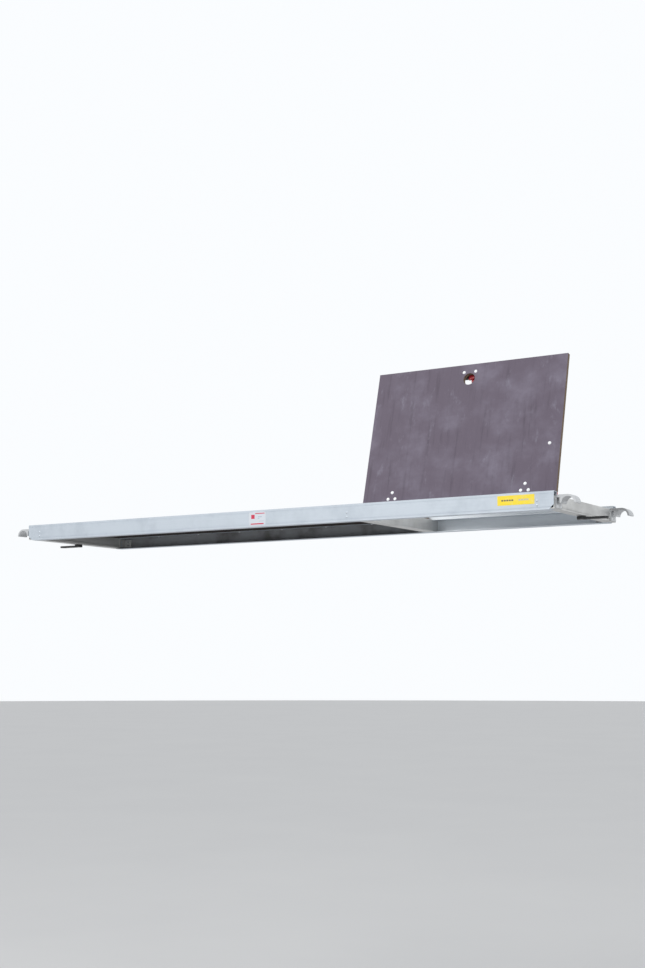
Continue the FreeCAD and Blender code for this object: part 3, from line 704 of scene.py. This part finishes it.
def make_rail(side, outer, inward, notches=()):
    name = "rail_skin_" + side
    low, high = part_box("rail_" + side)
    outline = rail_outline(high.z - low.z)
    shape = sweep(outline, low.x, high.x, lambda u, v, w: (w, outer + u * inward, low.z + v))
    for end, way in ((low.x, -1), (high.x, 1)):
        saw(shape, Vector((end, 0, low.z + SAWN_CORNER)), Vector((way, 0, -1)).normalized())
    mesh = mesh_of(shape, name)
    if notches:
        mesh = cut_away(mesh, notches)
        mesh.name = name
    stand(name, mesh, "platform", rail_metal, ("rail_" + side,), sharp=25)
    print(name, "faces", len(mesh.polygons), "length", round((high.x - low.x) / MM))


ledge_edge = rail_high.y
hinge_notches = []
for side in ("left", "right"):
    leaf_low, leaf_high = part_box("hinge_leaf_fixed_" + side)
    leaf_middle = (leaf_low.x + leaf_high.x) / 2
    notch_low = Vector((leaf_middle - NOTCH_HALF, ledge_edge - NOTCH_DEPTH, deck_low.z - WALL - 1 * MM))
    notch_high = Vector((leaf_middle + NOTCH_HALF, ledge_edge + 2 * MM, deck_low.z + 1 * MM))
    hinge_notches.append((notch_low, notch_high))
make_rail("front", rail_low.y, 1, hinge_notches)
make_rail("rear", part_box("rail_rear")[1].y, -1)

# %% [markdown]
# ## Rivet centres
# A set blind rivet keeps the end of its steel mandrel in the middle of the dome, as a small button. The
# measured rivets have plain domes, grouped many to a piece. Their places could be listed again, but it is
# safer to find them: each rivet in a group is an island of joined faces, and its dome's tip is the single
# furthest point on its middle line.

# %% Find each rivet and its tip
def islands(mesh):
    """The corners of each separate solid in a mesh."""
    shape = bmesh.new()
    shape.from_mesh(mesh)
    bmesh.ops.remove_doubles(shape, verts=shape.verts, dist=1e-6)
    seen = set()
    found = []
    # Starting from the corners in their own order keeps the islands in the same order each time
    for start in shape.verts:
        if start in seen:
            continue
        seen.add(start)
        reached = [start]
        for corner in reached:
            for edge in corner.link_edges:
                other = edge.other_vert(corner)
                if other not in seen:
                    seen.add(other)
                    reached.append(other)
        found.append([corner.co.copy() for corner in reached])
    shape.free()
    return found


def rivet_tip(points, ways):
    """The dome's tip and the way it points, out of the ways that its group can face."""
    centre = sum(points, Vector()) / len(points)
    found = []
    for way in ways:
        reach = max(way.dot(point - centre) for point in points)
        tips = [point for point in points if way.dot(point - centre) > reach - 1e-5]
        if len(tips) == 1:
            off_line = (tips[0] - centre - way * reach).length
            found.append((off_line, tips[0], way))
    return min(found, key=lambda item: item[0]) if found else None


print("the deck has", len(islands(nodes["deck_rivets"].data)), "rivets")

# %% [markdown]
# The button is turned as on a lathe: a short profile of radius and height goes round the rivet's axis.

# %% Turn a mandrel button on each rivet
BUTTON_TOP = 0.14
BUTTON = ((1.0, 0.12), (1.35, 0.02), (1.4, -0.3))
BUTTON_SINK = 0.1 * MM


def button(shape, top, way, sides=14):
    """BUTTON gives radius and height in millimetres from the middle outwards."""
    turn = way.to_track_quat("Z", "Y")
    middle = shape.verts.new(top + turn @ Vector((0, 0, BUTTON_TOP * MM)))
    rings = []
    for radius, height in BUTTON:
        ring = []
        for number in range(sides):
            angle = 2 * math.pi * number / sides
            point = Vector((math.cos(angle) * radius, math.sin(angle) * radius, height)) * MM
            ring.append(shape.verts.new(top + turn @ point))
        rings.append(ring)
    for number in range(sides):
        after = (number + 1) % sides
        shape.faces.new((middle, rings[0][number], rings[0][after]))
        for inner, outer in zip(rings, rings[1:]):
            shape.faces.new((inner[number], outer[number], outer[after], inner[after]))
    shape.faces.new(rings[-1][::-1])


UP = (Vector((0, 0, 1)),)
ENDWAYS = (Vector((1, 0, 0)), Vector((-1, 0, 0)))
SIDEWAYS = (Vector((0, 1, 0)), Vector((0, -1, 0)))
RIVET_GROUPS = {
    "cleat_rivets": ("platform", ENDWAYS + SIDEWAYS),
    "deck_rivets": ("platform", UP),
    "hook_rivets": ("platform", ENDWAYS),
    "hinge_leaf_rivets": ("hatch", (hatch_up,)),
    "latch_rivets": ("hatch", (hatch_up,)),
    "stay_bracket_rivet": ("hatch", (hatch_up,)),
}
for group, (body, ways) in RIVET_GROUPS.items():
    shape = bmesh.new()
    tips = [rivet_tip(points, ways) for points in islands(nodes[group].data)]
    for _, tip, way in filter(None, tips):
        button(shape, tip - way * BUTTON_SINK, way)
    name = group + "_buttons"
    stand(name, mesh_of(shape, name), body, steel)
    print(name, len(tips) - tips.count(None), "of", len(tips))

# %% [markdown]
# ## The labels
# The rail carries a yellow film label and a small white one. Both are thin plates with rounded corners, and
# the print is drawn by sums on the label's own place: bars stand for words, so that nothing can be read. The
# ink's edges are a little ragged and the film has faded in patches.

# %% Ink on a film
FADED = colour(0.75, 0.72, 0.66)
INK_EDGE = 0.3 * MM


def printed(name, ground, marks):
    """A film with bars of ink. Each mark is (x, z, half width, half height, colour) in metres."""
    material, shader, board = new_finish(name, IOR=1.46, Coat_Weight=0.15, Coat_Roughness=0.3)
    here = place(board)
    across = part_of(board, here, "X")
    up = part_of(board, here, "Z")
    fade = noise(board, here, 55.0, 4.0)
    shade = blend_colours(board, soft_step(board, fade, 0.45, 0.8) * 0.25, ground, FADED)
    ragged = (noise(board, here, 900.0, 2.0) - 0.5) * (0.4 * MM)
    for x, z, half_wide, half_high, ink in marks:
        wide = board.math("ABSOLUTE", across - x)
        high = board.math("ABSOLUTE", up - z)
        inside = soft_step(board, half_wide - wide + ragged, -INK_EDGE, INK_EDGE)
        level = soft_step(board, half_high - high + ragged, -INK_EDGE, INK_EDGE)
        shade = blend_colours(board, inside * level, shade, ink)
    feed(shader, Base_Color=shade, Roughness=0.42 + fade * 0.15)
    feed(shader, Normal=relief(board, noise(board, here, 300.0, 2.0), SPARK_DEPTH))
    return material


def label_plate(node, finish, radius):
    low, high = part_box(node)
    corners = [(low.x, low.z), (high.x, low.z), (high.x, high.z), (low.x, high.z)]
    shape = sweep(rounded(corners, radius, 5), low.y, high.y, lambda u, v, w: (u, w, v))
    stand(node + "_film", mesh_of(shape, node + "_film"), "platform", finish, (node,), sharp=40)


print("labels can be printed")

# %% [markdown]
# The yellow label has a row of dark bars and a row of faded ones, all the same height, as lines of print look
# from a few steps away.

# %% The yellow label
INK = colour(0.12, 0.10, 0.09)
PALE_INK = colour(0.55, 0.52, 0.42)
YELLOW = colour(0.94, 0.72, 0.035)
low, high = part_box("rail_label")
middle = (low.z + high.z) / 2
bars = [(low.x + (19 + 9.5 * n) * MM, middle, 3.6 * MM, 2.6 * MM, INK) for n in range(5)]
bars += [(low.x + (84 + 10 * n) * MM, middle, 3.9 * MM, 3.0 * MM, PALE_INK) for n in range(4)]
label_plate("rail_label", printed("label_yellow", YELLOW, bars), 2 * MM)
print("yellow label with", len(bars), "bars")

# %% [markdown]
# The white label has a red rule at its top and foot, a red square, and grey lines beside it.

# %% The white label
RED_INK = colour(0.60, 0.03, 0.08)
GREY_INK = colour(0.45, 0.52, 0.60)
WHITE = colour(0.64, 0.68, 0.74)
low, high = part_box("dot_label")
centre_x = (low.x + high.x) / 2
bars = [
    (centre_x + 12 * MM, high.z - 5 * MM, 22 * MM, 1.6 * MM, RED_INK),
    (centre_x, low.z + 5 * MM, 30 * MM, 2.2 * MM, RED_INK),
    (centre_x - 20 * MM, high.z - 17 * MM, 8 * MM, 8 * MM, RED_INK),
    (centre_x + 12 * MM, high.z - 18 * MM, 9 * MM, 2.0 * MM, GREY_INK),
    (centre_x + 6 * MM, high.z - 24 * MM, 4 * MM, 1.6 * MM, GREY_INK),
    (centre_x + 20 * MM, low.z + 15 * MM, 12 * MM, 1.0 * MM, GREY_INK),
]
label_plate("dot_label", printed("label_white", WHITE, bars), 3 * MM)
print("white label with", len(bars), "bars")

# %% [markdown]
# ## Drawing on the shut trapdoor
# The latch lies square to the trapdoor, which stands at an angle. Drawing it tilted would put a sine in every
# number. It is drawn with the trapdoor shut instead, where up is up, and then turned open about the hinge.

# %% Shut the trapdoor to draw, then open it
hinge_at = Vector(hinge["pos_m"])
turn_open = Matrix.Rotation(OPEN_ANGLE, 4, "X")
open_move = Matrix.Translation(hinge_at) @ turn_open @ Matrix.Translation(-hinge_at)
shut_move = open_move.inverted()


def shut_box(node):
    """A hatch piece's corners as they are with the trapdoor shut."""
    points = [shut_move @ corner.co for corner in nodes[node].data.vertices]
    low = Vector([min(point[axis] for point in points) for axis in range(3)])
    high = Vector([max(point[axis] for point in points) for axis in range(3)])
    return low, high


def open_mesh(shape, name):
    bmesh.ops.transform(shape, matrix=open_move, verts=shape.verts)
    return mesh_of(shape, name)


panel_under = shut_box("hatch_panel")[0].z
print("shut, the panel's underside is at", round(panel_under / MM, 1), "mm")

# %% [markdown]
# ## The finger latch
# Under the trapdoor's free edge a moulded housing holds a red slider. Its bolt has a sloped nose, so that it
# rides over the ledge as the trapdoor drops. Beside the bolt a pad reaches back under the finger hole, with
# grip ribs and a tab that a finger pulls. Bolt, pad, tab and ribs are one moulding, so they are one mesh.

# %% The bolt and its pad
BOLT_HALF = 12 * MM
BOLT_THICK = 9 * MM
NOSE_LENGTH = 11 * MM
NOSE_RISE = 0.62
MOULD_STEP = 0.1 * MM
low, high = shut_box("latch_slider")
housing_low, housing_high = shut_box("latch_housing")
latch_x = (housing_low.x + housing_high.x) / 2
pad_left = latch_x + 1 * MM
pad_top = low.z + BOLT_THICK
bolt_back = housing_low.y - 6 * MM
bolt_side = [
    (bolt_back, low.z),
    (high.y - NOSE_LENGTH, low.z),
    (high.y, low.z + BOLT_THICK * NOSE_RISE),
    (high.y, pad_top),
    (bolt_back, pad_top),
]
slider = sweep(bolt_side, latch_x - BOLT_HALF, latch_x + BOLT_HALF, lambda u, v, w: (w, u, v))
pad_near = (pad_left, low.y + 2 * MOULD_STEP, low.z + MOULD_STEP)
pad_far = (high.x, housing_low.y - 4 * MM, pad_top - MOULD_STEP)
add_box(slider, pad_near, pad_far)
print("the pad lies", round((panel_under - pad_top) / MM, 1), "mm below the panel")

# %% [markdown]
# The tab stands up from the pad into the finger hole, with a sloped front and an eased back edge. The ribs
# stay below the panel, or they would cut the hole's rim when the slider is pulled.

# %% The tab and the grip ribs
TAB_FRONT = 9 * MM
TAB_BACK = 5 * MM
RIB_PITCH = 2.6 * MM
RIB_WIDTH = 1.3 * MM
tab_front = housing_low.y - TAB_FRONT
tab_back = housing_low.y - TAB_BACK
tab_foot = pad_top - 0.6 * MM
tab_side = [
    (tab_front, tab_foot),
    (tab_back, tab_foot),
    (tab_back, high.z - 1 * MM),
    (tab_back - 1 * MM, high.z),
    (tab_front + 2 * MM, high.z),
    (tab_front, high.z - 3 * MM),
]
tab = sweep(tab_side, pad_left + 2 * MOULD_STEP, latch_x + 14 * MM, lambda u, v, w: (w, u, v))
tab_mesh = mesh_of(tab, "tab")
slider.from_mesh(tab_mesh)
bpy.data.meshes.remove(tab_mesh)
for rib in range(3):
    rib_low = low.y + 1.2 * MM + rib * RIB_PITCH
    rib_near = (pad_left + 1 * MM, rib_low, pad_top - 0.8 * MM)
    rib_far = (high.x - 1 * MM, rib_low + RIB_WIDTH, pad_top + 0.7 * MM)
    add_box(slider, rib_near, rib_far)
slider_mesh = open_mesh(slider, "latch_slider_red")
stand("latch_slider_red", slider_mesh, "latch", latch_red, ("latch_slider",), bevel=0.4 * MM)
print("latch slider", round((high.y - low.y) / MM, 1), "mm long")

# %% [markdown]
# The return spring is a real coil. The measured model has a plain sleeve there. A Screw modifier could wind
# it, but a curve that climbs as it turns is shorter to write, and its bevel is the wire.

# %% Wind the latch's spring
WIRE = 0.35 * MM
TURNS = 7
STEPS = 12
low, high = shut_box("latch_spring")
coil_middle = (low + high) / 2
coil_radius = (high.x - low.x) / 2 - WIRE
coil_length = high.y - low.y - 2 * WIRE
points = []
for step in range(TURNS * STEPS + 1):
    angle = 2 * math.pi * step / STEPS
    travel = low.y + WIRE + coil_length * step / (TURNS * STEPS)
    sideways = coil_middle.x + coil_radius * math.cos(angle)
    upwards = coil_middle.z + coil_radius * math.sin(angle)
    points.append(open_move @ Vector((sideways, travel, upwards)))
coil = bpy.data.curves.new("latch_coil", "CURVE")
coil.dimensions = "3D"
coil.bevel_depth = WIRE
coil.bevel_resolution = 2
line = coil.splines.new("POLY")
line.points.add(len(points) - 1)
for knot, point in zip(line.points, points):
    knot.co = (*point, 1.0)
spring = bpy.data.objects.new("latch_coil", coil)
bpy.context.scene.collection.objects.link(spring)
spring.data.materials.append(steel)
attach(spring, "hatch")
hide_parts("latch_spring")
print("spring turns", TURNS)

# %% [markdown]
# ## The wind locks
# A lever under each end swings below the rung and stops the wind lifting the platform. It is moulded, and a
# plain flat bar would look sawn from sheet. The measured lever keeps its shape, and gains two stiffening ribs
# along it and a row of ridges for the thumb at its tip.

# %% Rib the wind lock levers
RIB_LINE = 9.5 * MM
RIB_HALF = 0.8 * MM
RIB_BOSS_END = 19 * MM
RIB_TIP_END = 36 * MM
RIDGE_HALF = 0.7 * MM
RIDGE_REACH = 7 * MM
LEVER_THICK = 7 * MM
ROOT = 0.5 * MM
for side, way in (("left", -1), ("right", 1)):
    low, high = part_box("windlock_" + side)
    bolt_low, bolt_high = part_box("windlock_bolt_" + side)
    boss_x = (bolt_low.x + bolt_high.x) / 2
    tip_x = high.x if way > 0 else low.x
    top = low.z + LEVER_THICK
    shape = bmesh.new()
    ends = sorted((boss_x + way * RIB_BOSS_END, tip_x - way * RIB_TIP_END))
    for line in (-RIB_LINE, RIB_LINE):
        add_box(shape, (ends[0], line - RIB_HALF, top - ROOT), (ends[1], line + RIB_HALF, top + 0.6 * MM))
    for ridge in range(5):
        x = tip_x - way * (9 + 3.2 * ridge) * MM
        ridge_near = (x - RIDGE_HALF, -RIDGE_REACH, top - ROOT)
        add_box(shape, ridge_near, (x + RIDGE_HALF, RIDGE_REACH, top + 0.5 * MM))
    name = "windlock_ribs_" + side
    stand(name, mesh_of(shape, name), "windlock_" + side[0], lever_black, bevel=0.3 * MM)
    print(name, "on a lever that reaches", round(abs(tip_x - boss_x) / MM), "mm")

# %% [markdown]
# ## Floor, light and camera
# The platform hangs in a tower, so the floor lies about two metres below it and the camera looks slightly up
# at its edge. The floor is wide enough to reach the horizon, and plain, so that it draws no attention.

# %% Floor
FLOOR_DROP = 2.1
FLOOR_SIZE = 60.0
FLOOR_DARK = colour(0.52, 0.52, 0.525)
FLOOR_PALE = colour(0.56, 0.56, 0.56)


def floor_finish():
    material, shader, board = new_finish("floor_pale", Specular_IOR_Level=0.2)
    grain = noise(board, place(board), 0.8, 4.0)
    feed(shader, Base_Color=blend_colours(board, grain, FLOOR_DARK, FLOOR_PALE), Roughness=0.8 + grain * 0.1)
    return material


shape = bmesh.new()
bmesh.ops.create_circle(shape, cap_ends=True, segments=96, radius=FLOOR_SIZE)
bmesh.ops.translate(shape, vec=(0, 0, -FLOOR_DROP), verts=shape.verts)
floor_mesh = bpy.data.meshes.new("floor")
shape.to_mesh(floor_mesh)
shape.free()
floor = bpy.data.objects.new("floor", floor_mesh)
bpy.context.scene.collection.objects.link(floor)
paint(floor, floor_finish())
print("floor", FLOOR_DROP, "m below the platform's base")

# %% [markdown]
# A pale even world gives the aluminium something to reflect, as an overcast sky would. A broad soft lamp from
# the upper left shapes the rail and the open trapdoor, and a weaker one lifts the right end.

# %% World and lamps
KEY_SPOT = (-2.5, -5.0, 4.5)
FILL_SPOT = (5.5, -3.0, 1.5)
world = bpy.data.worlds.new("studio")
bpy.context.scene.world = world
world.use_nodes = True
background = world.node_tree.nodes["Background"]
background.inputs["Color"].default_value = colour(0.96, 0.98, 1.0)
background.inputs["Strength"].default_value = 1.0
object_middle = (cad_low + cad_high) / 2


def soft_lamp(name, spot, width, power, tint):
    data = bpy.data.lights.new(name, "AREA")
    data.shape = "DISK"
    data.size = width
    data.energy = power
    data.color = tint
    lamp = bpy.data.objects.new(name, data)
    bpy.context.scene.collection.objects.link(lamp)
    lamp.location = spot
    lamp.rotation_euler = (object_middle - Vector(spot)).to_track_quat("-Z", "Y").to_euler()


soft_lamp("key", KEY_SPOT, width=3.5, power=170.0, tint=(1.0, 0.98, 0.95))
soft_lamp("fill", FILL_SPOT, width=3.0, power=40.0, tint=(0.94, 0.97, 1.0))

# %% [markdown]
# The eye stands below the deck and to its right, as someone on the ground sees a tower. A fairly long lens
# fills the frame with the platform and keeps its edges calm.

# %% Camera
EYE = Vector((3.125, -4.917, -0.5195))
AIM = Vector((0.09, 0.0, 0.20))
LENS = 54.0
camera_data = bpy.data.cameras.new("camera")
camera_data.lens = LENS
camera_data.sensor_width = 36.0
camera_data.clip_end = 200.0
camera = bpy.data.objects.new("camera", camera_data)
bpy.context.scene.collection.objects.link(camera)
camera.location = EYE
camera.rotation_euler = (AIM - EYE).to_track_quat("-Z", "Y").to_euler()
bpy.context.scene.camera = camera
bpy.context.scene.view_settings.view_transform = "Standard"
print("camera looks from", [round(value, 2) for value in EYE])
